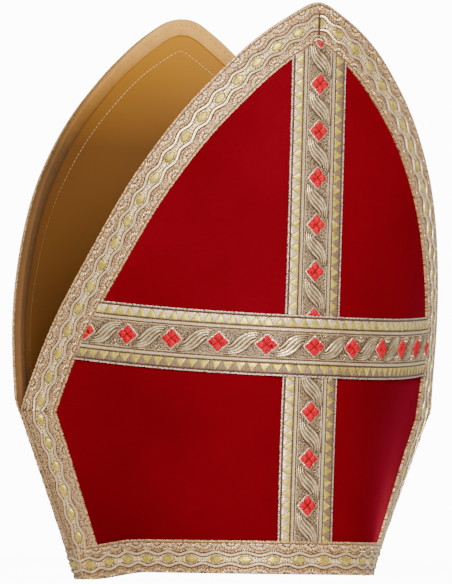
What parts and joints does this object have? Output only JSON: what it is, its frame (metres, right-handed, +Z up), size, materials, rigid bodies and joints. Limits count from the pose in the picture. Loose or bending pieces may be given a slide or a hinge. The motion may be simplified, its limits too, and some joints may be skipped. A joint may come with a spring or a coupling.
{
  "type": "bishop mitre",
  "caption": "Tall velvet mitre opened as worn: two pointed horns over a round hem, gold galloon edges, an upright and a cross band, lined inside.",
  "frame": {"origin": "on the surface that the hem rests on, below the middle of the mitre's box", "axes": "+Z up to the peaks, -Y towards the front horn that carries the bands, X from side seam to side seam"},
  "size_m": [0.2592, 0.2284, 0.3262],
  "materials": {
    "velvet": "short red velvet pile",
    "lining": "plain gold cotton",
    "galloon": "woven metal thread galloon, silver, gold and brown",
    "orphrey": "woven metal thread band with red satin lozenges",
    "binding": "tan bias tape with a row of stitches"
  },
  "bodies": {
    "root": {"front_panel": "velvet", "rear_panel": "velvet", "front_lining": "lining", "rear_lining": "lining", "front_border": "galloon", "rear_border": "galloon", "front_hem": "galloon", "rear_hem": "galloon", "upright_orphrey": "orphrey", "cross_orphrey": "orphrey", "front_binding": "binding", "rear_binding": "binding"}
  },
  "joints": []
}
